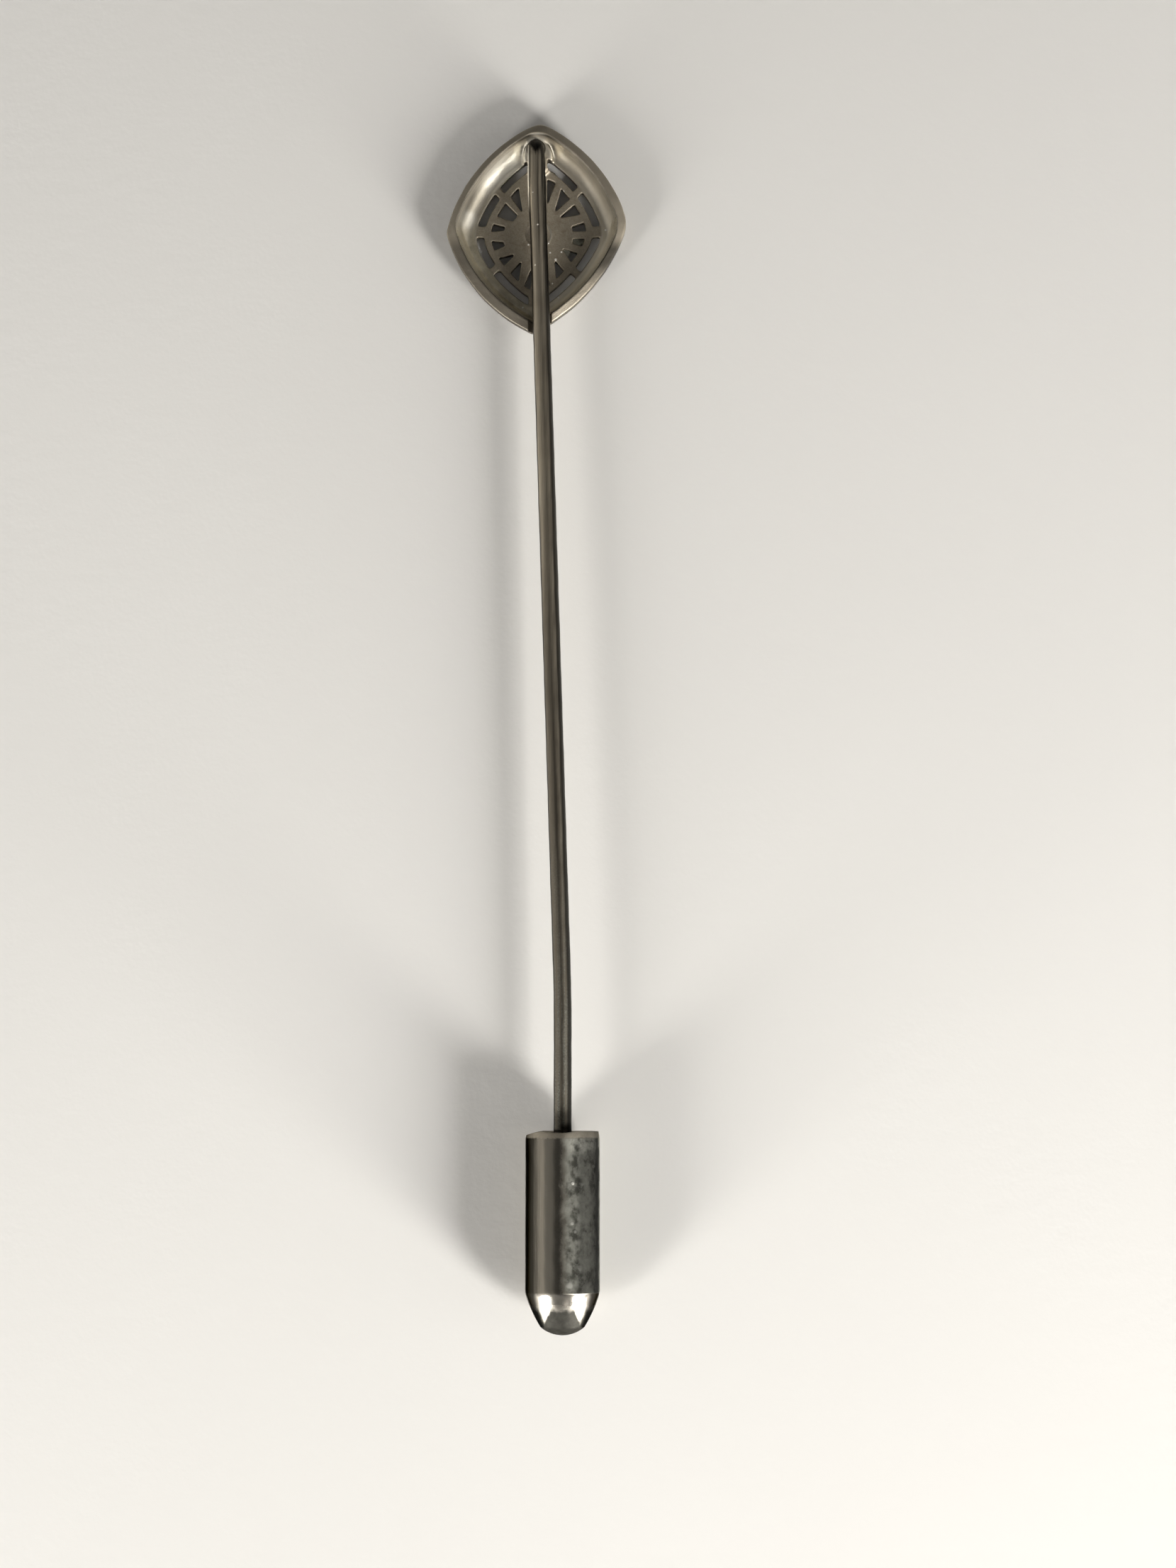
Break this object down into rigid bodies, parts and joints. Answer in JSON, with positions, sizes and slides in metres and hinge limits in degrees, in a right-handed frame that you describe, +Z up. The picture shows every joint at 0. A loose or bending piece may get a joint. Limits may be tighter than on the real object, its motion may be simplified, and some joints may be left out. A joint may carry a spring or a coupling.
{
  "type": "stick pin",
  "caption": "Stick pin with a dished, pierced plaque head, a plain wire stem soldered on its back and a bullet-shaped slide-on end clutch over the point.",
  "frame": {"origin": "on the surface the pin lies on, under the middle of the whole pin's box", "axes": "+Y along the pin from the clutch to the head, +Z up out of the back of the head, +X to the right as the back is seen with the head away from the viewer"},
  "size_m": [0.0108, 0.0708, 0.0042],
  "materials": {
    "antique_metal": "antique silver-coloured metal with dark warm patina in the hollows, satin on the high spots",
    "worn_nickel": "worn nickel plating, frosted and scuffed, tarnished warm grey in stripes",
    "dull_brass": "dull unplated brass"
  },
  "bodies": {
    "pin": {"head_and_stem": "antique_metal"},
    "clutch": {"clutch_shell": "worn_nickel", "clutch_grip": "dull_brass"}
  },
  "joints": [
    {"name": "clutch_slide", "type": "slide", "parent": "pin", "child": "clutch", "axis": [0, -1, 0], "range_m": [0, 0.014]}
  ]
}
